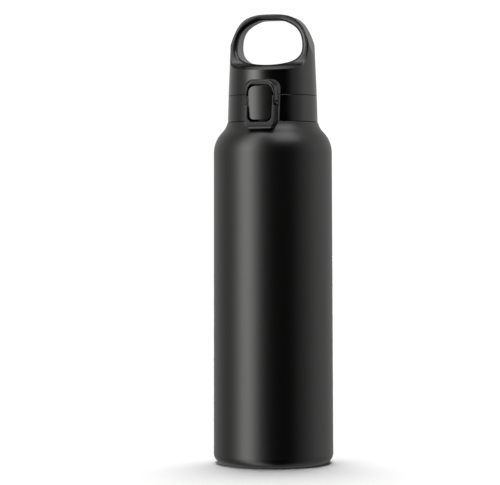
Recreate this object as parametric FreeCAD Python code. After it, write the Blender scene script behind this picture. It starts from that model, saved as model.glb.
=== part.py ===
import FreeCAD, Part
import math
import os

from FreeCAD import Vector

os.makedirs("parts", exist_ok=True)

# Insulated drinking bottle, about 0.9 litre, with a screw-on lid.
# Millimetres, +Z up, origin at the centre of the base on the table.
# The latch is at the front, on -Y, and the cap's hinge is at the back, on +Y.

# ---- Bottle body --------------------------------------------------------
SHELL_R_LOW = 40.0
SHELL_R_HIGH = 39.4
SHELL_WALL = 0.6
FOOT_Z = 0.5
FOOT_CORNER_R = 6.0
WELD_R = SHELL_R_LOW - FOOT_CORNER_R
SHOULDER_Z = 207.0
SHOULDER_R = 19.7
SHOULDER_SWEEP = 45.0
SHOULDER_ROOT_R = 12.5
SHOULDER_ROOT_END = 13.1
LEDGE_R = 30.3
LEDGE_Z = 227.0
NECK_R = 25.6
MOUTH_Z = 240.5

LINER_R = 36.8
LINER_WALL = 0.6
LINER_FLOOR_Z = 9.0
LINER_FLOOR_R = 12.0
LINER_SHOULDER_Z = 209.0
LINER_SHOULDER_R = 11.0
LINER_SHOULDER_SWEEP = 75.0
LINER_NECK_R = 23.6
FOIL_T = 0.2

BASE_RECESS_R = 30.0
BASE_RECESS_Z = 3.5
BASE_PAD_GAP = 0.3
SEAL_HOLE_R = 1.2
SEAL_R = 3.0
GETTER_R = 5.0
GETTER_X = 15.0

# ---- Neck thread --------------------------------------------------------
THREAD_PITCH = 4.0
THREAD_TURNS = 1.25
THREAD_Z = 231.6
THREAD_HEIGHT = 1.0
THREAD_DROP = 1.7
THREAD_ROOT_W = 2.3
THREAD_CREST_W = 1.1

# ---- Lid ----------------------------------------------------------------
COLLAR_BOTTOM_Z = 227.4
COLLAR_TOP_Z = 244.5
COLLAR_R_LOW = 29.95
COLLAR_R_HIGH = 29.45
INSERT_R = 28.3
INSERT_BORE_R = 26.9
INSERT_TOP_Z = 243.8
DECK_Z = 242.5
DECK_HOLE_R = 23.5

SPOUT_Y = -6.0
SPOUT_R = 11.5
SPOUT_BORE_R = 9.0
SPOUT_TOP_Z = 254.5
SPOUT_FLANGE_R = 13.5
SPOUT_FLANGE_Z = 245.0
SPOUT_FLANGE_T = 1.2

VENT_Y = 15.0
VENT_R = 2.4
VENT_HEAD_R = 3.8
SEAT_GAP = 0.03

# ---- Flip cap and its loop ----------------------------------------------
CAP_BOTTOM_Z = 244.9
CAP_R_LOW = 29.458
CAP_R_HIGH = 28.6
CAP_R_HIGH_Z = 265.2
CAP_RIM_Z = 260.8
CAP_CAVITY_R = 26.4
CAP_CAVITY_Z = 257.2
CAP_POCKET_R = 16.0
CAP_POCKET_Z = 260.0
CAP_LINER_T = 1.3
LOOP_TOP_Z = 298.9
LOOP_FILLET = 2.2
LOOP_OUTLINE = ((29.6, 262.0), (27.5, 275.9), (23.6, 287.6), (17.5, 295.4), (9.9, 298.3), (0, LOOP_TOP_Z))
LOOP_SADDLE = ((29.2, CAP_RIM_Z), (20.4, 262.4), (14.4, 265.2), (11.2, 270.3), (8.8, 278.5), (7.1, 288.0))
LOOP_TOP_HALF = 6.4
LOOP_HOLE = ((0, 265.0), (11.0, 266.0), (17.6, 268.2), (21.2, 272.0), (22.0, 277.5), (20.9, 284.0),
             (16.8, 290.2), (9.6, 294.2), (0, 295.2))

# ---- Rear hinge ---------------------------------------------------------
HINGE_Y = 31.4
HINGE_Z = 246.4
KNUCKLE_R = 2.6
KNUCKLE_CLEAR = 0.45
HINGE_PIN_R = 1.0
CAP_KNUCKLE_IN = 2.9
CAP_KNUCKLE_OUT = 5.8
LID_KNUCKLE_IN = 6.1
LID_KNUCKLE_OUT = 9.8

# ---- Front latch --------------------------------------------------------
LATCH_Z = 239.7
LATCH_V = 30.6
LATCH_PIN_R = 1.0
LATCH_PIN_HALF = 10.4
LATCH_HUB_R = 1.95
PIN_FIT = 0.05
BUTTON_HALF = 8.0
BUTTON_BOTTOM_Z = 227.9
BUTTON_TOP_Z = 249.8
BUTTON_FACE_V = 34.4
BUTTON_CORNER_R = 4.0
BUTTON_BULGE_R = 30.0
BAIL_HALF_IN = 8.25
BAIL_LEG_IN = 9.15
BAIL_HALF_FRONT = 9.6
BAIL_HALF_BACK = 11.4
BAIL_BAR_Z = 251.1
BAIL_TOP_Z = 253.8
BAIL_BLANK_Z = 225.0
BAIL_FACE_V = 34.7
BAIL_CORNER_R = 6.0
BAIL_CORNER_IN = 4.2
BAIL_CHAMFER = 0.6
PLATFORM_V = 29.6
PLATFORM_HALF = 10.4
PLATFORM_ROOT = 12.0
SURROUND_BOTTOM_Z = 221.0
SURROUND_TOP_Z = 237.3
SURROUND_FACE_V = 34.2
SURROUND_LIP_V = 36.2
SURROUND_LIP_Z = 224.6
SURROUND_ROOT = 11.2
SURROUND_CORNER_R = 6.0
TAB_HALF_OUT = 9.0
TAB_TOP_Z = 244.4
WINDOW_HALF = 8.2
WINDOW_BOTTOM_Z = 226.2
CATCH_HALF = 4.5
CATCH_TOP_Z = 247.6
CATCH_V = 30.9
LOCK_HALF = 5.0
LOCK_Z = 250.0
LOCK_T = 0.7
LOCK_V = 31.3
HOOK_HALF = 3.5
HOOK_TOP_Z = 249.4

# ---- Springs ------------------------------------------------------------
WIRE_R = 0.3
HINGE_COIL_R = 1.65
HINGE_COIL_PITCH = 0.62
HINGE_COIL_TURNS = 7
BUTTON_COIL_R = 1.6
BUTTON_COIL_PITCH = 0.94
BUTTON_COIL_TURNS = 3.0
BUTTON_COIL_Z = 232.0

Z_AXIS = Vector(0, 0, 1)


def save(shape, name):
    """Write one piece as its own STEP file."""
    shape.exportStep("parts/" + name + ".step")
    print(name, "solids", len(shape.Solids), "valid", shape.isValid(), "volume", round(shape.Volume, 1))


def outline(start, *steps):
    """Closed edges in the r-z plane. A step is a point, or a pair (through, end) for an arc."""
    edges = []
    here = Vector(start[0], 0, start[1])
    first = here
    for step in steps:
        if isinstance(step[0], tuple):
            through = Vector(step[0][0], 0, step[0][1])
            there = Vector(step[1][0], 0, step[1][1])
            edges.append(Part.Arc(here, through, there).toShape())
        else:
            there = Vector(step[0], 0, step[1])
            edges.append(Part.LineSegment(here, there).toShape())
        here = there
    if (here - first).Length > 1e-6:
        edges.append(Part.LineSegment(here, first).toShape())
    return Part.Wire(edges)


def turned(start, *steps):
    """A solid of revolution about Z from an r-z outline."""
    face = Part.Face(outline(start, *steps))
    return face.revolve(Vector(0, 0, 0), Z_AXIS, 360)


def ring(r_in, r_out, z_low, z_high, y=0.0):
    """A plain ring or, with r_in of zero, a disc."""
    body = Part.makeCylinder(r_out, z_high - z_low, Vector(0, y, z_low))
    if r_in > 0:
        body = body.cut(Part.makeCylinder(r_in, z_high - z_low, Vector(0, y, z_low)))
    return body


def box(x_low, x_high, y_low, y_high, z_low, z_high):
    return Part.makeBox(x_high - x_low, y_high - y_low, z_high - z_low, Vector(x_low, y_low, z_low))


def rod(radius, x_low, x_high, y, z):
    """A round bar along X."""
    return Part.makeCylinder(radius, x_high - x_low, Vector(x_low, y, z), Vector(1, 0, 0))


def on_arc(centre, radius, degrees):
    """A point of the r-z plane, its angle counted up from the outward radius."""
    angle = math.radians(degrees)
    return (centre[0] + radius * math.cos(angle), centre[1] + radius * math.sin(angle))


def shoulder(r_wall, z_start, r_crest, sweep, r_root, end, offset=0.0):
    """Crest arc and root arc of a shoulder, tangent to each other, moved outward by offset."""
    crest = (r_wall - r_crest, z_start)
    join = on_arc(crest, r_crest, sweep)
    root = on_arc(join, r_root, sweep)
    crest_r = r_crest + offset
    root_r = r_root - offset
    start = on_arc(crest, crest_r, 0)
    crest_arc = (on_arc(crest, crest_r, sweep / 2), on_arc(crest, crest_r, sweep))
    root_arc = (on_arc(root, root_r, 180 + (sweep + end) / 2), on_arc(root, root_r, 180 + end))
    return start, crest_arc, root_arc


def outer_shoulder(offset=0.0):
    return shoulder(SHELL_R_HIGH, SHOULDER_Z, SHOULDER_R, SHOULDER_SWEEP,
                    SHOULDER_ROOT_R, SHOULDER_ROOT_END, offset)


def inner_shoulder(offset=0.0):
    root_r = (LINER_R - LINER_NECK_R) / (1 - math.cos(math.radians(LINER_SHOULDER_SWEEP)))
    root_r = root_r - LINER_SHOULDER_R
    return shoulder(LINER_R, LINER_SHOULDER_Z, LINER_SHOULDER_R, LINER_SHOULDER_SWEEP,
                    root_r, 0.0, offset)


def thread(radius, root_w, crest_w, height, z_start, depth=0.25):
    """One helical rib. A negative height makes an inside thread. The root sinks in by depth."""
    helix = Part.makeHelix(THREAD_PITCH, THREAD_PITCH * THREAD_TURNS, radius)
    root = radius - math.copysign(depth, height)
    crest = radius + height
    rib = outline((root, -root_w / 2), (crest, -crest_w / 2), (crest, crest_w / 2), (root, root_w / 2))
    solid = Part.Wire(helix.Edges).makePipeShell([rib], True, True)
    solid.translate(Vector(0, 0, z_start))
    return solid


# ---- Bottle body --------------------------------------------------------
def outer_shell():
    """Outer wall, shoulder and threaded neck, open at the weld in the foot."""
    corner = (SHELL_R_LOW - FOOT_CORNER_R, FOOT_Z + FOOT_CORNER_R)
    inner_corner_r = FOOT_CORNER_R - SHELL_WALL
    start, crest, root = outer_shoulder()
    in_start, in_crest, in_root = outer_shoulder(-SHELL_WALL)
    ledge_in_z = LEDGE_Z - SHELL_WALL
    body = turned(
        (WELD_R, FOOT_Z),
        (on_arc(corner, FOOT_CORNER_R, -45), on_arc(corner, FOOT_CORNER_R, 0)),
        start,
        crest,
        root,
        (LEDGE_R, LEDGE_Z),
        (NECK_R, LEDGE_Z),
        (NECK_R, MOUTH_Z - LINER_WALL),
        (NECK_R - SHELL_WALL, MOUTH_Z - LINER_WALL),
        (NECK_R - SHELL_WALL, ledge_in_z),
        (in_root[1][0], ledge_in_z),
        in_root[1],
        (in_root[0], in_crest[1]),
        (in_crest[0], in_start),
        on_arc(corner, inner_corner_r, 0),
        (on_arc(corner, inner_corner_r, -45), (WELD_R, FOOT_Z + SHELL_WALL)),
    )
    rib = thread(NECK_R, THREAD_ROOT_W, THREAD_CREST_W, THREAD_HEIGHT, THREAD_Z)
    return body.fuse(rib).removeSplitter()


def outer_base():
    """Pressed base plate with a recess for the pad, and the hole it is evacuated through."""
    t = SHELL_WALL
    plate = turned(
        (SEAL_HOLE_R, BASE_RECESS_Z),
        (BASE_RECESS_R - 1.0, BASE_RECESS_Z),
        (BASE_RECESS_R, BASE_RECESS_Z - 1.0),
        (BASE_RECESS_R, FOOT_Z),
        (WELD_R, FOOT_Z),
        (WELD_R, FOOT_Z + t),
        (BASE_RECESS_R + t, FOOT_Z + t),
        (BASE_RECESS_R + t, BASE_RECESS_Z - 1.0),
        (BASE_RECESS_R - 1.0 + t, BASE_RECESS_Z + t),
        (SEAL_HOLE_R, BASE_RECESS_Z + t),
    )
    return plate


def base_pad():
    """Rubber foot pad, glued in the recess, hollow over the seal."""
    r_out = BASE_RECESS_R - BASE_PAD_GAP
    return turned(
        (0, 0),
        (r_out - 1.0, 0),
        ((r_out - 0.3, 0.3), (r_out, 1.0)),
        (r_out, BASE_RECESS_Z - 1.3),
        (r_out - 1.3, BASE_RECESS_Z),
        (SEAL_R + 1.5, BASE_RECESS_Z),
        (SEAL_R + 1.5, 1.6),
        (0, 1.6),
    )


def vacuum_seal():
    """Plug in the evacuation hole, with a domed head under the plate."""
    return turned(
        (0, BASE_RECESS_Z - 1.2),
        ((SEAL_R * 0.75, BASE_RECESS_Z - 0.8), (SEAL_R, BASE_RECESS_Z)),
        (SEAL_HOLE_R, BASE_RECESS_Z),
        (SEAL_HOLE_R, BASE_RECESS_Z + SHELL_WALL),
        (0, BASE_RECESS_Z + SHELL_WALL),
    )


def getter():
    """Pill that absorbs stray gas, fixed on the base plate inside the vacuum."""
    z = BASE_RECESS_Z + SHELL_WALL
    pill = ring(1.5, GETTER_R, z, z + 1.8)
    pill.translate(Vector(GETTER_X, 0, 0))
    return pill


def inner_liner():
    """Inner vessel wall, its neck and the mouth lip that meets the outer wall."""
    start, crest, root = inner_shoulder()
    in_start, in_crest, in_root = inner_shoulder(-LINER_WALL)
    floor_z = LINER_FLOOR_Z + LINER_FLOOR_R
    lip_z = MOUTH_Z - LINER_WALL
    return turned(
        (LINER_R, floor_z),
        start,
        crest,
        root,
        (LINER_NECK_R, lip_z),
        (NECK_R, lip_z),
        (NECK_R, MOUTH_Z - 0.2),
        (NECK_R - 0.2, MOUTH_Z),
        (LINER_NECK_R - 0.2, MOUTH_Z),
        (LINER_NECK_R - LINER_WALL, MOUTH_Z - 0.4),
        in_root[1],
        (in_root[0], in_crest[1]),
        (in_crest[0], in_start),
        (LINER_R - LINER_WALL, floor_z),
    )


def liner_bottom():
    """Pressed bottom of the inner vessel, slightly domed up in the middle."""
    corner = (LINER_R - LINER_FLOOR_R, LINER_FLOOR_Z + LINER_FLOOR_R)
    inner_r = LINER_FLOOR_R - LINER_WALL
    dome_r = 12.0
    dome_rise = 1.5
    return turned(
        (0, LINER_FLOOR_Z + dome_rise),
        (dome_r, LINER_FLOOR_Z),
        on_arc(corner, LINER_FLOOR_R, -90),
        (on_arc(corner, LINER_FLOOR_R, -45), on_arc(corner, LINER_FLOOR_R, 0)),
        on_arc(corner, inner_r, 0),
        (on_arc(corner, inner_r, -45), on_arc(corner, inner_r, -90)),
        (dome_r, LINER_FLOOR_Z + LINER_WALL),
        (0, LINER_FLOOR_Z + dome_rise + LINER_WALL),
    )


def heat_foil():
    """Copper foil round the inner vessel's straight wall."""
    return ring(LINER_R, LINER_R + FOIL_T, LINER_FLOOR_Z + LINER_FLOOR_R, LINER_SHOULDER_Z - 2.0)


# ---- Lid ----------------------------------------------------------------
def mouth_gasket():
    """Silicone ring squeezed between the mouth lip and the lid's deck."""
    r_in = LINER_NECK_R - 1.2
    r_out = NECK_R - 0.1
    return turned(
        (r_in, MOUTH_Z),
        (r_out, MOUTH_Z),
        (r_out, DECK_Z),
        (r_in, DECK_Z),
        ((r_in - 0.7, (MOUTH_Z + DECK_Z) / 2), (r_in, MOUTH_Z)),
    )


def lid_insert():
    """Threaded inner ring with the deck that closes the mouth."""
    body = turned(
        (INSERT_BORE_R, COLLAR_BOTTOM_Z + 0.5),
        (INSERT_R, COLLAR_BOTTOM_Z + 0.5),
        (INSERT_R, INSERT_TOP_Z),
        (0, INSERT_TOP_Z),
        (0, DECK_Z),
        (INSERT_BORE_R - 0.6, DECK_Z),
        (INSERT_BORE_R, DECK_Z - 0.6),
    )
    rib = thread(INSERT_BORE_R, THREAD_ROOT_W, THREAD_CREST_W, -THREAD_HEIGHT, THREAD_Z - THREAD_DROP)
    body = body.fuse(rib).removeSplitter()
    spout_hole = ring(0, SPOUT_R + SEAT_GAP, DECK_Z, INSERT_TOP_Z, SPOUT_Y)
    vent_hole = ring(0, VENT_R + SEAT_GAP, DECK_Z, INSERT_TOP_Z, VENT_Y)
    return body.cut(spout_hole).cut(vent_hole)


def front_plate(half, z_low, z_high, corner, v_back, v_front):
    """A plate seen from the front as a rounded rectangle, its depth along -Y."""
    x = half - corner
    s = corner * math.sin(math.radians(45))
    low = z_low + corner
    high = z_high - corner
    wire = outline(
        (-x, z_low),
        (x, z_low),
        ((x + s, low - s), (half, low)),
        (half, high),
        ((x + s, high + s), (x, z_high)),
        (-x, z_high),
        ((-x - s, high + s), (-half, high)),
        (-half, low),
        ((-x - s, low - s), (-x, z_low)),
    )
    face = Part.Face(wire)
    face.translate(Vector(0, -v_back, 0))
    return face.extrude(Vector(0, v_back - v_front, 0))


def flank_loft(half_back, half_front, z_low, z_high, corner, v_back, v_front, z_draft=0.0):
    """A block whose sides slope in towards the front."""
    wires = []
    for half, v, grow in ((half_back, v_back, z_draft), (half_front, v_front, 0.0)):
        plate = front_plate(half, z_low - grow, z_high + grow, corner, v, v + 1.0)
        face = min(plate.Faces, key=lambda f: abs(f.CenterOfMass.y + v))
        wires.append(face.OuterWire)
    return Part.makeLoft(wires, True, True)


def across(side, half=20.0):
    """A side outline, its first number the distance out to the front, swept across in X."""
    face = Part.Face(side)
    face.rotate(Vector(0, 0, 0), Z_AXIS, -90)
    face.translate(Vector(-half, 0, 0))
    return face.extrude(Vector(2 * half, 0, 0))


def latch_platform():
    """Flat raised land behind the latch, shared by the lid and the cap."""
    return flank_loft(PLATFORM_ROOT, PLATFORM_HALF, SURROUND_BOTTOM_Z + 1.0, BAIL_TOP_Z + 0.6,
                      SURROUND_CORNER_R, 26.8, PLATFORM_V, 0.6)


def lid_core(r_low, r_high, z_low, z_high):
    """The lid's own round outline between two heights."""
    return turned((0, z_low), (r_low, z_low), (r_high, z_high), (0, z_high))


def latch_tabs():
    """Two thin cheeks beside the button that carry the latch pin."""
    front = SURROUND_FACE_V - 0.9
    side = outline(
        (26.5, SURROUND_TOP_Z - 1.0),
        (front + 0.3, SURROUND_TOP_Z - 1.0),
        (front, TAB_TOP_Z - 2.0),
        ((front - 0.6, TAB_TOP_Z - 0.6), (front - 2.0, TAB_TOP_Z)),
        (26.5, TAB_TOP_Z),
    )
    return across(side, TAB_HALF_OUT)


def shoulder_clearance(gap):
    """Everything within gap of the bottle's shoulder, for trimming the latch surround."""
    start, crest, root = outer_shoulder(gap)
    return turned((0, SHOULDER_Z), start, crest, root, (LEDGE_R + gap, LEDGE_Z + 0.1), (0, LEDGE_Z + 0.1))


def latch_surround():
    """Frame round the button's lower half. Its face leans out to a rounded lip at the bottom."""
    block = flank_loft(SURROUND_ROOT, BAIL_HALF_FRONT, SURROUND_BOTTOM_Z, SURROUND_TOP_Z + 8.0,
                       SURROUND_CORNER_R, 27.0, SURROUND_LIP_V)
    lip_r = SURROUND_LIP_Z - SURROUND_BOTTOM_Z
    lip = (SURROUND_LIP_V - lip_r, SURROUND_LIP_Z)
    side = outline(
        (20, SURROUND_TOP_Z),
        (SURROUND_FACE_V, SURROUND_TOP_Z),
        (SURROUND_LIP_V, SURROUND_LIP_Z),
        (on_arc(lip, lip_r, -45), on_arc(lip, lip_r, -90)),
        (20, SURROUND_BOTTOM_Z),
    )
    return block.common(across(side))


def lid_collar():
    """Outer skin of the screw lid, with the latch surround and two rear hinge knuckles."""
    skin = lid_core(COLLAR_R_LOW, COLLAR_R_HIGH, COLLAR_BOTTOM_Z, COLLAR_TOP_Z)
    land = latch_platform().common(box(-15, 15, -40, 0, 200, COLLAR_TOP_Z))
    web = box(-LID_KNUCKLE_OUT, LID_KNUCKLE_OUT, 26.0, HINGE_Y + KNUCKLE_R - 0.8,
              HINGE_Z - 5.0, COLLAR_TOP_Z)
    barrel = rod(KNUCKLE_R, -LID_KNUCKLE_OUT, LID_KNUCKLE_OUT, HINGE_Y, HINGE_Z)
    body = skin.fuse([land, latch_surround(), latch_tabs(), web, barrel]).removeSplitter()
    body = body.cut(lid_core(INSERT_R, INSERT_R, COLLAR_BOTTOM_Z - 9, INSERT_TOP_Z))
    body = body.cut(lid_core(DECK_HOLE_R, DECK_HOLE_R, INSERT_TOP_Z, COLLAR_TOP_Z))
    body = body.cut(shoulder_clearance(0.5))
    window = front_plate(WINDOW_HALF, WINDOW_BOTTOM_Z, COLLAR_TOP_Z + 6.0, 4.0, 25.0, 40.0)
    flange = box(-WINDOW_HALF, WINDOW_HALF, -PLATFORM_V - 0.2, 0, COLLAR_TOP_Z - 1.0, COLLAR_TOP_Z + 7.0)
    body = body.cut(window.cut(flange))
    for side in (-1, 1):
        x_in, x_out = sorted((side * (TAB_HALF_OUT + 0.01), side * 12.5))
        body = body.cut(box(x_in, x_out, -40, -28.3, SURROUND_TOP_Z, LATCH_Z + 3.6))
    body = body.cut(rod(LATCH_PIN_R + PIN_FIT, -12, 12, -LATCH_V, LATCH_Z))
    notch = box(-LID_KNUCKLE_IN, LID_KNUCKLE_IN, 28.5, 40, HINGE_Z - 3.2, HINGE_Z + 4)
    body = body.cut(notch)
    body = body.cut(box(-15, 15, 26, HINGE_Y - KNUCKLE_R - 0.3, COLLAR_TOP_Z, HINGE_Z + 4))
    return body.cut(rod(HINGE_PIN_R + PIN_FIT, -12, 12, HINGE_Y, HINGE_Z))


def drinking_spout():
    """Mouthpiece pressed through the deck, with a flange on top."""
    lip = 0.8
    body = turned(
        (SPOUT_BORE_R, DECK_Z),
        (SPOUT_R, DECK_Z),
        (SPOUT_R, SPOUT_FLANGE_Z),
        (SPOUT_FLANGE_R, SPOUT_FLANGE_Z),
        (SPOUT_FLANGE_R, SPOUT_FLANGE_Z + SPOUT_FLANGE_T),
        (SPOUT_R, SPOUT_FLANGE_Z + SPOUT_FLANGE_T),
        (SPOUT_R, SPOUT_TOP_Z - lip),
        ((SPOUT_R - 0.25, SPOUT_TOP_Z - 0.25), (SPOUT_R - lip, SPOUT_TOP_Z)),
        (SPOUT_BORE_R, SPOUT_TOP_Z),
    )
    body.translate(Vector(0, SPOUT_Y, 0))
    return body


def spout_gasket():
    """Silicone ring under the mouthpiece's flange."""
    return ring(SPOUT_R, SPOUT_FLANGE_R - 0.2, INSERT_TOP_Z, SPOUT_FLANGE_Z, SPOUT_Y)


def vent_valve():
    """Silicone air valve that plugs into the deck."""
    body = turned(
        (0, DECK_Z - 1.0),
        (VENT_R - 0.6, DECK_Z - 1.0),
        (VENT_R + 0.6, DECK_Z),
        (VENT_R, DECK_Z),
        (VENT_R, INSERT_TOP_Z),
        (VENT_HEAD_R, INSERT_TOP_Z),
        (VENT_HEAD_R, INSERT_TOP_Z + 0.8),
        (VENT_HEAD_R - 0.8, INSERT_TOP_Z + 1.6),
        (0, INSERT_TOP_Z + 1.6),
    )
    body.translate(Vector(0, VENT_Y, 0))
    return body


# ---- Flip cap -----------------------------------------------------------
def spline(points, start_tangent=None, end_tangent=None):
    """A smooth edge through a few points of the x-z plane."""
    curve = Part.BSplineCurve()
    poles = [Vector(p[0], 0, p[1]) for p in points]
    if start_tangent is None:
        curve.interpolate(poles)
    else:
        first = Vector(start_tangent[0], 0, start_tangent[1])
        last = Vector(end_tangent[0], 0, end_tangent[1])
        curve.interpolate(Points=poles, InitialTangent=first, FinalTangent=last)
    return curve.toShape()


def mirrored(points):
    """The right half's points followed by the left half's, without repeating the middle."""
    return list(points) + [(-x, z) for x, z in reversed(points) if x > 0]


def loop_front():
    """The cap and its loop as seen from the front."""
    arch = spline(mirrored(LOOP_OUTLINE), (-0.05, 1.0), (-0.05, -1.0))
    half, z = LOOP_OUTLINE[0]
    walls = [Vector(-half, 0, z), Vector(-33, 0, 240), Vector(33, 0, 240), Vector(half, 0, z)]
    lines = [Part.LineSegment(walls[i], walls[i + 1]).toShape() for i in range(3)]
    face = Part.Face(Part.Wire([arch] + lines))
    face.translate(Vector(0, -35, 0))
    return face.extrude(Vector(0, 70, 0))


def loop_side():
    """The cap and its loop as seen from the side: a flat rim, a saddle and a slim arch."""
    top_z = LOOP_TOP_Z + 1
    rim_v = LOOP_SADDLE[0][0]
    neck_v, neck_z = LOOP_SADDLE[-1]
    right = spline(LOOP_SADDLE)
    left = spline([(-v, z) for v, z in reversed(LOOP_SADDLE)])
    corners = [(neck_v, neck_z), (LOOP_TOP_HALF, top_z), (-LOOP_TOP_HALF, top_z), (-neck_v, neck_z)]
    base = [(-rim_v, CAP_RIM_Z), (-33, 240), (33, 240), (rim_v, CAP_RIM_Z)]
    edges = [right]
    for chain in (corners, base):
        points = [Vector(v, 0, z) for v, z in chain]
        edges += [Part.LineSegment(points[i], points[i + 1]).toShape() for i in range(3)]
    edges.insert(4, left)
    face = Part.Face(Part.Wire(edges))
    face.rotate(Vector(0, 0, 0), Z_AXIS, 90)
    face.translate(Vector(-35, 0, 0))
    return face.extrude(Vector(70, 0, 0))


def loop_opening():
    """The hand opening, right through from front to back."""
    right = spline(LOOP_HOLE, (1, 0), (-1, 0))
    left = right.mirror(Vector(0, 0, 0), Vector(1, 0, 0))
    face = Part.Face(Part.Wire([right, left]))
    face.translate(Vector(0, -40, 0))
    return face.extrude(Vector(0, 80, 0))


def loop_edges(body):
    """The front and back edges of the hand opening."""
    picked = []
    for edge in body.Edges:
        b = edge.BoundBox
        is_front_or_back = b.YMin > 1 or b.YMax < -1
        slopes = b.ZMax - b.ZMin > 0.5
        is_inside = b.XMax < 22.6 and b.XMin > -22.6 and b.ZMax < LOOP_TOP_Z - 1
        if is_front_or_back and slopes and b.ZMin > CAP_RIM_Z - 1 and is_inside:
            picked.append(edge)
    return picked


def flip_cap():
    """Cap and carry loop in one moulding, with its catch ledges and hinge knuckles."""
    draft = (CAP_R_LOW - CAP_R_HIGH) / (CAP_R_HIGH_Z - CAP_BOTTOM_Z)
    top_z = LOOP_TOP_Z + 1
    cone = lid_core(CAP_R_LOW, CAP_R_LOW - draft * (top_z - CAP_BOTTOM_Z), CAP_BOTTOM_Z, top_z)
    body = cone.common(loop_front()).common(loop_side()).cut(loop_opening())
    body = body.makeFillet(LOOP_FILLET, loop_edges(body))
    body = body.fuse(latch_platform().common(box(-15, 15, -40, 0, CAP_BOTTOM_Z, 270)))
    catch = box(-CATCH_HALF, CATCH_HALF, -CATCH_V, -27, CAP_BOTTOM_Z + 0.3, CATCH_TOP_Z)
    lock = box(-LOCK_HALF, LOCK_HALF, -LOCK_V, -27, LOCK_Z, LOCK_Z + LOCK_T)
    barrel = rod(KNUCKLE_R, -CAP_KNUCKLE_OUT, CAP_KNUCKLE_OUT, HINGE_Y, HINGE_Z)
    web = box(-CAP_KNUCKLE_OUT, CAP_KNUCKLE_OUT, 27, HINGE_Y, HINGE_Z + 0.6, HINGE_Z + KNUCKLE_R)
    body = body.fuse([catch, lock, barrel, web]).removeSplitter()
    body = body.cut(lid_core(CAP_CAVITY_R, CAP_CAVITY_R, CAP_BOTTOM_Z - 4, CAP_CAVITY_Z))
    body = body.cut(lid_core(CAP_POCKET_R, CAP_POCKET_R, CAP_CAVITY_Z, CAP_POCKET_Z))
    for side in (-1, 1):
        x_in, x_out = sorted((side * (CAP_KNUCKLE_OUT + 0.01), side * (LID_KNUCKLE_OUT + 0.3)))
        body = body.cut(rod(KNUCKLE_R + KNUCKLE_CLEAR, x_in, x_out, HINGE_Y, HINGE_Z))
    body = body.cut(box(-CAP_KNUCKLE_IN, CAP_KNUCKLE_IN, HINGE_Y - 2.9, 40, HINGE_Z - 4, HINGE_Z + 4))
    return body.cut(rod(HINGE_PIN_R + PIN_FIT, -12, 12, HINGE_Y, HINGE_Z))


def cap_liner():
    """Inner cover snapped up into the cap, carrying the two plugs."""
    r_out = CAP_CAVITY_R
    top = CAP_CAVITY_Z
    low = top - CAP_LINER_T
    return turned(
        (0, low),
        (r_out - 1.8, low),
        (r_out - 1.2, low - 0.6),
        (r_out - 1.2, 250.5),
        (r_out, 250.5),
        (r_out, top),
        (0, top),
    )


def spout_plug():
    """Soft plug that closes the mouthpiece, with a tapered nose."""
    low = CAP_CAVITY_Z - CAP_LINER_T
    body = turned(
        (0, SPOUT_TOP_Z - 2.6),
        (SPOUT_BORE_R - 1.9, SPOUT_TOP_Z - 2.6),
        (SPOUT_BORE_R - 0.7, SPOUT_TOP_Z),
        (SPOUT_R + 0.6, SPOUT_TOP_Z),
        (SPOUT_R + 0.6, low),
        (0, low),
    )
    body.translate(Vector(0, SPOUT_Y, 0))
    return body


def vent_plug():
    """Soft post that presses the air valve shut."""
    low = CAP_CAVITY_Z - CAP_LINER_T
    post = ring(0, 2.2, INSERT_TOP_Z + 1.6, low, VENT_Y)
    return post.fuse(ring(0, 3.2, low - 1.2, low, VENT_Y)).removeSplitter()


def hinge_pin():
    return rod(HINGE_PIN_R, -LID_KNUCKLE_OUT, LID_KNUCKLE_OUT, HINGE_Y, HINGE_Z)


# ---- Springs ------------------------------------------------------------
def coil(mean_r, wire_r, pitch, turns):
    """A round-wire coil standing on the origin along +Z."""
    helix = Part.makeHelix(pitch, pitch * turns, mean_r)
    section = Part.Wire(Part.makeCircle(wire_r, Vector(mean_r, 0, 0), Vector(0, 1, 0)))
    return Part.Wire(helix.Edges).makePipeShell([section], True, True)


def hinge_spring():
    """Torsion coil round the hinge pin, between the cap's knuckles."""
    body = coil(HINGE_COIL_R, WIRE_R, HINGE_COIL_PITCH, HINGE_COIL_TURNS)
    body.rotate(Vector(0, 0, 0), Vector(0, 1, 0), 90)
    body.translate(Vector(-HINGE_COIL_PITCH * HINGE_COIL_TURNS / 2, HINGE_Y, HINGE_Z))
    return body


def button_spring():
    """Small compression coil behind the button's lower end."""
    body = coil(BUTTON_COIL_R, WIRE_R, BUTTON_COIL_PITCH, BUTTON_COIL_TURNS)
    body.rotate(Vector(0, 0, 0), Vector(1, 0, 0), 90)
    body.translate(Vector(0, -INSERT_R - 0.35, BUTTON_COIL_Z))
    return body


# ---- Latch --------------------------------------------------------------
def latch_pin():
    return rod(LATCH_PIN_R, -LATCH_PIN_HALF, LATCH_PIN_HALF, -LATCH_V, LATCH_Z)


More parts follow.
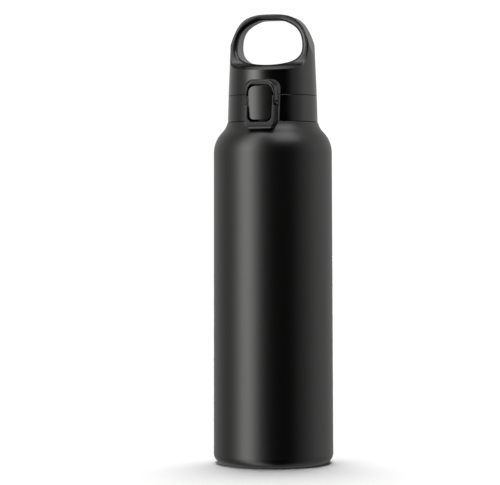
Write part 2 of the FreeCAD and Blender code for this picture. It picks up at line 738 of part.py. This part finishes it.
def latch_button():
    """Rocking push button: bulged face, pivot boss and a hook over the cap's catch."""
    bulge_y = -(BUTTON_FACE_V - BUTTON_BULGE_R)
    bulge = Part.makeCylinder(BUTTON_BULGE_R, 40, Vector(0, bulge_y, 220))
    hollow = Part.makeCylinder(BUTTON_BULGE_R - 1.4, LATCH_Z - 2.4 - 220, Vector(0, bulge_y, 220))
    thick = front_plate(BUTTON_HALF, BUTTON_BOTTOM_Z, BUTTON_TOP_Z, BUTTON_CORNER_R, 30.0, 35.0)
    face = thick.common(bulge).cut(hollow)
    face = face.cut(box(-20, 20, -31.5, -20, LATCH_Z + 2.0, 260))
    boss = rod(LATCH_HUB_R, -BUTTON_HALF, BUTTON_HALF, -LATCH_V, LATCH_Z).common(bulge)
    hook = box(-HOOK_HALF, HOOK_HALF, -32.0, -29.95, CATCH_TOP_Z + 0.3, HOOK_TOP_Z)
    body = face.fuse([boss, hook]).removeSplitter()
    return body.cut(rod(LATCH_PIN_R + PIN_FIT, -12, 12, -LATCH_V, LATCH_Z))


def bail_outline():
    """Front view of the space inside the ring: wide past the tabs, then narrow and round at the top."""
    corner = BAIL_CORNER_IN
    s = corner * (1 - math.sin(math.radians(45)))
    half = BAIL_HALF_IN
    top = half - corner
    arc_z = BAIL_BAR_Z - corner
    right = [(BAIL_LEG_IN, BAIL_BLANK_Z), (BAIL_LEG_IN, TAB_TOP_Z + 0.6), (half, arc_z - 0.1), (half, arc_z)]
    steps = right[1:]
    steps.append(((half - s, BAIL_BAR_Z - s), (top, BAIL_BAR_Z)))
    steps.append((-top, BAIL_BAR_Z))
    steps.append(((-half + s, BAIL_BAR_Z - s), (-half, arc_z)))
    steps += [(-x, z) for x, z in reversed(right[:3])]
    return outline(right[0], *steps)


def lock_bail():
    """Ring over the top end of the button, on the same pin, that locks the cap."""
    back_v = LATCH_V - LATCH_HUB_R
    edge_v = BAIL_FACE_V - BAIL_CHAMFER
    blank = flank_loft(BAIL_HALF_BACK, BAIL_HALF_FRONT, BAIL_BLANK_Z, BAIL_TOP_Z,
                       BAIL_CORNER_R, back_v, edge_v)
    chamfer = flank_loft(BAIL_HALF_FRONT, BAIL_HALF_FRONT - BAIL_CHAMFER, BAIL_BLANK_Z + BAIL_CHAMFER,
                         BAIL_TOP_Z - BAIL_CHAMFER, BAIL_CORNER_R, edge_v, BAIL_FACE_V, BAIL_CHAMFER)
    inner = Part.Face(bail_outline())
    inner.translate(Vector(0, -25, 0))
    arch = blank.fuse(chamfer).cut(inner.extrude(Vector(0, -15, 0)))
    side = outline(
        (PLATFORM_V + 0.35, LATCH_Z + 4.5),
        (PLATFORM_V + 0.35, BAIL_TOP_Z + 1),
        (BAIL_FACE_V + 0.5, BAIL_TOP_Z + 1),
        (BAIL_FACE_V, BAIL_BAR_Z - 1.0),
        (LATCH_V + LATCH_HUB_R, LATCH_Z),
        ((LATCH_V, LATCH_Z - LATCH_HUB_R), (back_v + 0.15, LATCH_Z)),
    )
    body = arch.common(across(side))
    return body.cut(rod(LATCH_PIN_R + PIN_FIT, -12, 12, -LATCH_V, LATCH_Z))


PIECES = (
    outer_shell, outer_base, base_pad, vacuum_seal, getter, inner_liner, liner_bottom, heat_foil,
    mouth_gasket, lid_insert, lid_collar, drinking_spout, spout_gasket, vent_valve,
    hinge_pin, hinge_spring, latch_pin, button_spring,
    flip_cap, cap_liner, spout_plug, vent_plug, latch_button, lock_bail,
)

for piece in PIECES:
    save(piece(), piece.__name__)
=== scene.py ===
import math

import bpy
from mathutils import Matrix, Vector

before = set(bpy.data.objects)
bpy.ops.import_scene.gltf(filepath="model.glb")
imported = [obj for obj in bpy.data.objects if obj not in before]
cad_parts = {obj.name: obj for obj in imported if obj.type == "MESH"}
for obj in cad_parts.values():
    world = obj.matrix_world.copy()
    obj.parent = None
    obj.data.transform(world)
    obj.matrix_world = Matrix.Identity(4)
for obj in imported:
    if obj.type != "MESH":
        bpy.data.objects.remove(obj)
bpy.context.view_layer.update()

MM = 0.001

# The camera stands a little to the latch's right and looks almost level.
CAMERA_DISTANCE = 1.4
CAMERA_AZIMUTH = 14.3
CAMERA_HEIGHT = 0.1697
CAMERA_LENS = 150.9
CAMERA_PAN = -0.63
CAMERA_TILT = -0.916
CAMERA_ROLL = -0.15
SENSOR_WIDTH = 36.0
CAMERA_CLIP_END = 20.0

# The carry loop's edges look softer than the lid's, from here up.
LOOP_FROM = 262 * MM
LOOP_BLEND = 4 * MM

# Brightness of the surroundings by azimuth, counted from the camera's side, left negative.
# The levels are fitted to the shading in the photograph.
KEY_LEVEL = 7.4
SURROUNDINGS = (
    (-180, 0.5), (-155, 0.8), (-125, 0.80), (-92, 0.54), (-76, 1.3), (-63, 5.2), (-52, KEY_LEVEL),
    (-42, 5.6), (-31, 1.4), (-20, 0.12), (0, 0.0), (36, 0.0), (62, 0.60), (92, 1.25), (135, 0.85),
    (180, 0.5),
)
# Two heights of the sky, from -1 below to 1 overhead, and the factors there.
FLOOR_FADE = (-0.35, 0.25, 0.55, 1.0)
OVERHEAD_FADE = (0.12, 0.70, 1.0, 0.62)
# Share of the surroundings that matt surfaces receive.
WORLD_ON_DIFFUSE = 0.12
# The camera sees plain white behind the bottle instead of the surroundings.
PAPER_LEVEL = 1.05
TOP_LIGHT_POWER = 8.4
TOP_LIGHT_SIDE = 0.9
TOP_LIGHT_DISTANCE = 1.3
TOP_LIGHT_AIM = 0.15
SUN_LEVEL = 3.9
FLOOR_TONE = 0.85
FLOOR_HALF = 6.0


# ---- Node helpers ---------------------------------------------------------
class Graph:
    """A material's node tree with short ways to add and join nodes."""

    def __init__(self, name):
        self.material = bpy.data.materials.new(name)
        self.material.use_nodes = True
        self.nodes = self.material.node_tree.nodes
        self.links = self.material.node_tree.links
        self.shader = self.nodes["Principled BSDF"]
        self.place = self.add("ShaderNodeTexCoord").outputs["Object"]

    def add(self, kind, **values):
        node = self.nodes.new(kind)
        for key, value in values.items():
            setattr(node, key, value)
        return node

    def noise(self, size, detail=2.0, stretch=None, rough=0.5):
        """Noise whose grains are about size metres across, from 0 to 1."""
        node = self.add("ShaderNodeTexNoise")
        node.inputs["Scale"].default_value = 1.0 / size
        node.inputs["Detail"].default_value = detail
        node.inputs["Roughness"].default_value = rough
        source = self.place
        if stretch is not None:
            scaled = self.add("ShaderNodeVectorMath", operation="MULTIPLY")
            scaled.inputs[1].default_value = stretch
            self.links.new(source, scaled.inputs[0])
            source = scaled.outputs[0]
        self.links.new(source, node.inputs["Vector"])
        return node.outputs["Fac"]

    def cells(self, size):
        """Distance to the nearest of many small cells, for leathery or blasted grain."""
        node = self.add("ShaderNodeTexVoronoi")
        node.inputs["Scale"].default_value = 1.0 / size
        self.links.new(self.place, node.inputs["Vector"])
        return node.outputs["Distance"]

    def remap(self, value, low, high, from_low=0.3, from_high=0.7):
        """Spread a value over low to high. The default range is the middle of a noise."""
        node = self.add("ShaderNodeMapRange")
        node.inputs["From Min"].default_value = from_low
        node.inputs["From Max"].default_value = from_high
        node.inputs["To Min"].default_value = low
        node.inputs["To Max"].default_value = high
        self.links.new(value, node.inputs["Value"])
        return node.outputs["Result"]

    def combine(self, a, b, how="ADD"):
        node = self.add("ShaderNodeMath", operation=how)
        self.links.new(a, node.inputs[0])
        if isinstance(b, float):
            node.inputs[1].default_value = b
        else:
            self.links.new(b, node.inputs[1])
        return node.outputs[0]

    def mix_colour(self, factor, first, second):
        node = self.add("ShaderNodeMix", data_type="RGBA")
        node.inputs["A"].default_value = (*first, 1)
        node.inputs["B"].default_value = (*second, 1)
        self.links.new(factor, node.inputs["Factor"])
        return node.outputs["Result"]

    def edge_wear(self):
        """1 along outside edges, 0 on flats."""
        pointy = self.add("ShaderNodeNewGeometry").outputs["Pointiness"]
        return self.remap(pointy, 0.0, 1.0, from_low=0.53, from_high=0.62)

    def bump(self, height, strength, distance, bevel=None):
        """Fine relief, over edges softened by the bevel's radius."""
        node = self.add("ShaderNodeBump")
        node.inputs["Strength"].default_value = strength
        node.inputs["Distance"].default_value = distance
        self.links.new(height, node.inputs["Height"])
        if bevel is not None:
            soft = self.add("ShaderNodeBevel", samples=8)
            if isinstance(bevel, float):
                soft.inputs["Radius"].default_value = bevel
            else:
                self.links.new(bevel, soft.inputs["Radius"])
            self.links.new(soft.outputs["Normal"], node.inputs["Normal"])
        self.links.new(node.outputs["Normal"], self.shader.inputs["Normal"])

    def set(self, **values):
        for key, value in values.items():
            self.shader.inputs[key.replace("_", " ")].default_value = value

    def link(self, value, socket):
        self.links.new(value, self.shader.inputs[socket])


# ---- Materials --------------------------------------------------------------
def powder_coat():
    """Matte black powder coat: orange-peel waves under a fine sandy grain."""
    dark = (0.0011, 0.0011, 0.0010)
    light = (0.0019, 0.0019, 0.0018)
    g = Graph("powder_coat")
    grain = g.noise(0.45 * MM, 3.0, rough=0.6)
    specks = g.cells(0.5 * MM)
    peel = g.noise(2.4 * MM, 1.0)
    cloud = g.noise(35 * MM, 2.0)
    g.link(g.mix_colour(g.remap(cloud, 0.0, 1.0), dark, light), "Base Color")
    g.link(g.remap(grain, 0.31, 0.39), "Roughness")
    height = g.combine(g.combine(grain, specks, "ADD"), g.combine(peel, 1.2, "MULTIPLY"), "ADD")
    g.bump(height, 0.32, 0.035 * MM, bevel=0.3 * MM)
    g.set(IOR=1.5)
    return g.material


def moulded_plastic(name, dark, light, rough, grain=0.22, bump=0.16, bevel=0.35, loop_bevel=None):
    """Satin moulded plastic with a spark-eroded grain and slightly polished edges."""
    g = Graph(name)
    fine = g.noise(grain * MM, 2.0, rough=0.65)
    wave = g.noise(6 * MM, 1.0)
    rub = g.edge_wear()
    tone = g.combine(g.remap(wave, 0.0, 0.7), g.combine(rub, 0.3, "MULTIPLY"))
    g.link(g.mix_colour(tone, dark, light), "Base Color")
    base_rough = g.remap(fine, rough - 0.03, rough + 0.04)
    g.link(g.combine(base_rough, g.combine(rub, -0.05, "MULTIPLY")), "Roughness")
    radius = bevel * MM
    if loop_bevel is not None:
        height = g.add("ShaderNodeSeparateXYZ")
        g.links.new(g.place, height.inputs[0])
        loop_radius = loop_bevel * MM
        radius = g.remap(height.outputs["Z"], radius, loop_radius, LOOP_FROM, LOOP_FROM + LOOP_BLEND)
    g.bump(g.combine(fine, g.combine(wave, 0.8, "MULTIPLY")), bump, 0.02 * MM, bevel=radius)
    g.set(IOR=1.5)
    return g.material


def rubber(name, dark, light, rough=0.62):
    """Soft silicone or rubber: dusty, with a faint mould texture."""
    g = Graph(name)
    dust = g.noise(1.6 * MM, 4.0, rough=0.7)
    fine = g.noise(0.3 * MM, 2.0)
    g.link(g.mix_colour(g.remap(dust, 0.0, 1.0), dark, light), "Base Color")
    g.link(g.remap(dust, rough - 0.06, rough + 0.08), "Roughness")
    g.bump(fine, 0.2, 0.03 * MM, bevel=0.25 * MM)
    g.set(IOR=1.42)
    return g.material


def brushed_steel(name, tone, rough, stretch=(1, 1, 14)):
    """Stainless steel with fine brush lines. A larger stretch makes them finer along that axis."""
    g = Graph(name)
    lines = g.noise(1.1 * MM, 3.0, stretch=stretch, rough=0.6)
    stain = g.noise(18 * MM, 2.0)
    warm = tuple(c * k for c, k in zip(tone, (0.97, 0.94, 0.90)))
    g.link(g.mix_colour(g.remap(stain, 0.0, 1.0), tone, warm), "Base Color")
    g.link(g.remap(lines, rough - 0.07, rough + 0.1), "Roughness")
    g.bump(lines, 0.18, 0.02 * MM)
    g.set(Metallic=1.0)
    return g.material


def copper_foil():
    """Thin crinkled copper foil."""
    bright = (0.72, 0.36, 0.22)
    dull = (0.60, 0.28, 0.17)
    g = Graph("copper_foil")
    crease = g.cells(9 * MM)
    fine = g.noise(2.5 * MM, 3.0)
    g.link(g.mix_colour(g.remap(fine, 0.0, 1.0), bright, dull), "Base Color")
    g.link(g.remap(fine, 0.2, 0.34), "Roughness")
    g.bump(g.combine(crease, fine), 0.5, 0.25 * MM)
    g.set(Metallic=1.0)
    return g.material


def dress_nodes():
    """Give every CAD piece its material."""
    coat = powder_coat()
    lid = moulded_plastic(
        "lid_plastic", dark=(0.0010, 0.0010, 0.0009), light=(0.0022, 0.0022, 0.0021), rough=0.23,
        bevel=0.45, loop_bevel=2.0)
    button = moulded_plastic(
        "button_plastic", dark=(0.0040, 0.0040, 0.0039), light=(0.0070, 0.0070, 0.0068), rough=0.34,
        grain=0.18, bevel=0.6)
    ring = moulded_plastic(
        "ring_plastic", dark=(0.0035, 0.0035, 0.0034), light=(0.0060, 0.0060, 0.0058), rough=0.32,
        grain=0.18, bevel=0.9)
    inner = moulded_plastic(
        "inner_plastic", dark=(0.012, 0.012, 0.012), light=(0.020, 0.020, 0.020), rough=0.36)
    spout = moulded_plastic(
        "spout_plastic", dark=(0.014, 0.014, 0.014), light=(0.022, 0.022, 0.022), rough=0.24,
        grain=0.4, bump=0.08)
    silicone = rubber("silicone", dark=(0.045, 0.045, 0.046), light=(0.065, 0.065, 0.066))
    foot = rubber("foot_rubber", dark=(0.012, 0.012, 0.012), light=(0.022, 0.022, 0.022), rough=0.7)
    liner = brushed_steel("liner_steel", tone=(0.60, 0.59, 0.57), rough=0.30)
    pin = brushed_steel("pin_steel", tone=(0.80, 0.79, 0.77), rough=0.20, stretch=(10, 1, 1))
    wire = brushed_steel("spring_steel", tone=(0.55, 0.54, 0.52), rough=0.3, stretch=(6, 6, 6))
    seal = brushed_steel("seal_metal", tone=(0.42, 0.41, 0.39), rough=0.45, stretch=(3, 3, 3))
    finishes = {
        coat: ("outer_shell", "outer_base"),
        lid: ("lid_collar", "flip_cap"),
        button: ("latch_button",),
        ring: ("lock_bail",),
        inner: ("lid_insert", "cap_liner"),
        spout: ("drinking_spout",),
        silicone: ("mouth_gasket", "spout_gasket", "vent_valve", "spout_plug", "vent_plug"),
        foot: ("base_pad",),
        liner: ("inner_liner", "liner_bottom"),
        pin: ("hinge_pin", "latch_pin"),
        wire: ("hinge_spring", "button_spring"),
        seal: ("vacuum_seal", "getter"),
        copper_foil(): ("heat_foil",),
    }
    for material, names in finishes.items():
        for name in names:
            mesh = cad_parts[name].data
            mesh.materials.clear()
            mesh.materials.append(material)


# ---- Studio -----------------------------------------------------------------
def direction_to(azimuth, elevation):
    """Unit vector from the bottle, its azimuth counted from the camera's side, in degrees."""
    turned = math.radians(CAMERA_AZIMUTH + azimuth)
    lift = math.radians(elevation)
    return Vector((math.sin(turned) * math.cos(lift), -math.cos(turned) * math.cos(lift), math.sin(lift)))


def camera():
    """The photograph's viewpoint."""
    azimuth = math.radians(CAMERA_AZIMUTH)
    away = direction_to(0, 0)
    cam = bpy.data.cameras.new("camera")
    cam.lens = CAMERA_LENS
    cam.sensor_width = SENSOR_WIDTH
    cam.sensor_fit = "HORIZONTAL"
    cam.clip_end = CAMERA_CLIP_END
    seen = bpy.data.objects.new("camera", cam)
    bpy.context.scene.collection.objects.link(seen)
    yaw = Matrix.Rotation(azimuth - math.radians(CAMERA_PAN), 4, "Z")
    pitch = Matrix.Rotation(math.radians(90 + CAMERA_TILT), 4, "X")
    roll = Matrix.Rotation(math.radians(CAMERA_ROLL), 4, "Z")
    place = Matrix.Translation(away * CAMERA_DISTANCE + Vector((0, 0, CAMERA_HEIGHT)))
    seen.matrix_world = place @ yaw @ pitch @ roll
    bpy.context.scene.camera = seen


def studio_world():
    """Soft studio surroundings: a tall key softbox on the left, a dark front, pale sides and back."""
    world = bpy.data.worlds.new("studio")
    bpy.context.scene.world = world
    world.use_nodes = True
    nodes = world.node_tree.nodes
    links = world.node_tree.links
    nodes.clear()

    def math_node(kind, *values):
        node = nodes.new("ShaderNodeMath")
        node.operation = kind
        for socket, value in zip(node.inputs, values):
            if isinstance(value, (int, float)):
                socket.default_value = value
            else:
                links.new(value, socket)
        return node.outputs[0]

    direction = nodes.new("ShaderNodeTexCoord").outputs["Generated"]
    turn = nodes.new("ShaderNodeVectorRotate")
    turn.rotation_type = "Z_AXIS"
    turn.inputs["Angle"].default_value = -math.radians(CAMERA_AZIMUTH)
    links.new(direction, turn.inputs["Vector"])
    split = nodes.new("ShaderNodeSeparateXYZ")
    links.new(turn.outputs[0], split.inputs[0])
    x, y, z = split.outputs
    azimuth = math_node("ARCTAN2", x, math_node("MULTIPLY", y, -1.0))
    share = math_node("ADD", math_node("DIVIDE", azimuth, 2 * math.pi), 0.5)

    ramp = nodes.new("ShaderNodeValToRGB")
    ramp.color_ramp.interpolation = "EASE"
    elements = ramp.color_ramp.elements
    while len(elements) < len(SURROUNDINGS):
        elements.new(0.5)
    for element, (degrees, level) in zip(elements, SURROUNDINGS):
        element.position = degrees / 360 + 0.5
        grey = level / KEY_LEVEL
        element.color = (grey, grey, grey * 0.985, 1)
    links.new(share, ramp.inputs["Fac"])

    def fade(from_low, from_high, to_low, to_high):
        """A factor that changes between two heights of the sky."""
        node = nodes.new("ShaderNodeMapRange")
        for socket, value in zip(node.inputs[1:5], (from_low, from_high, to_low, to_high)):
            socket.default_value = value
        links.new(z, node.inputs["Value"])
        return node.outputs["Result"]

    studio = nodes.new("ShaderNodeBackground")
    links.new(ramp.outputs["Color"], studio.inputs["Color"])
    path = nodes.new("ShaderNodeLightPath")
    spread = math_node("MULTIPLY_ADD", path.outputs["Is Diffuse Ray"], WORLD_ON_DIFFUSE - 1.0, 1.0)
    height = math_node("MULTIPLY", fade(*FLOOR_FADE), fade(*OVERHEAD_FADE))
    strength = math_node("MULTIPLY", height, KEY_LEVEL)
    links.new(math_node("MULTIPLY", strength, spread), studio.inputs["Strength"])
    paper = nodes.new("ShaderNodeBackground")
    paper.inputs["Color"].default_value = (1, 1, 1, 1)
    paper.inputs["Strength"].default_value = PAPER_LEVEL
    which = nodes.new("ShaderNodeMixShader")
    links.new(path.outputs["Is Camera Ray"], which.inputs[0])
    links.new(studio.outputs[0], which.inputs[1])
    links.new(paper.outputs[0], which.inputs[2])
    links.new(which.outputs[0], nodes.new("ShaderNodeOutputWorld").inputs["Surface"])


def hang(name, lamp, away):
    """Put a lamp in the scene, turned towards the bottle."""
    body = bpy.data.objects.new(name, lamp)
    body.rotation_euler = (-away).to_track_quat("-Z", "Y").to_euler()
    bpy.context.scene.collection.objects.link(body)
    return body


def top_light(azimuth, elevation):
    """A soft box above the bottle. It gives matt surfaces no light."""
    away = direction_to(azimuth, elevation)
    lamp = bpy.data.lights.new("top_light", "AREA")
    lamp.shape = "RECTANGLE"
    lamp.size = TOP_LIGHT_SIDE
    lamp.size_y = TOP_LIGHT_SIDE
    lamp.energy = TOP_LIGHT_POWER
    body = hang("top_light", lamp, away)
    body.location = away * TOP_LIGHT_DISTANCE + Vector((0, 0, TOP_LIGHT_AIM))
    body.visible_diffuse = False


def soft_sun(azimuth, elevation, spread):
    """Broad overhead light for the floor and the pieces' own colour. Gloss doesn't show it."""
    lamp = bpy.data.lights.new("soft_sun", "SUN")
    lamp.energy = SUN_LEVEL
    lamp.angle = math.radians(spread)
    body = hang("soft_sun", lamp, direction_to(azimuth, elevation))
    body.visible_glossy = False


def floor():
    """Plain pale paper under the bottle. The bottle neither mirrors it nor gets light from it."""
    mesh = bpy.data.meshes.new("floor")
    half = FLOOR_HALF
    corners = [(-half, -half, 0), (half, -half, 0), (half, half, 0), (-half, half, 0)]
    mesh.from_pydata(corners, [], [(0, 1, 2, 3)])
    plane = bpy.data.objects.new("floor", mesh)
    bpy.context.scene.collection.objects.link(plane)
    g = Graph("floor_paper")
    g.set(Base_Color=(FLOOR_TONE, FLOOR_TONE, FLOOR_TONE, 1), Roughness=0.9)
    mesh.materials.append(g.material)
    plane.visible_glossy = False
    plane.visible_diffuse = False


dress_nodes()
camera()
studio_world()
floor()
top_light(azimuth=35, elevation=62)
soft_sun(azimuth=180, elevation=72, spread=45)
bpy.context.scene.view_settings.view_transform = "Standard"
bpy.context.scene.view_settings.look = "None"
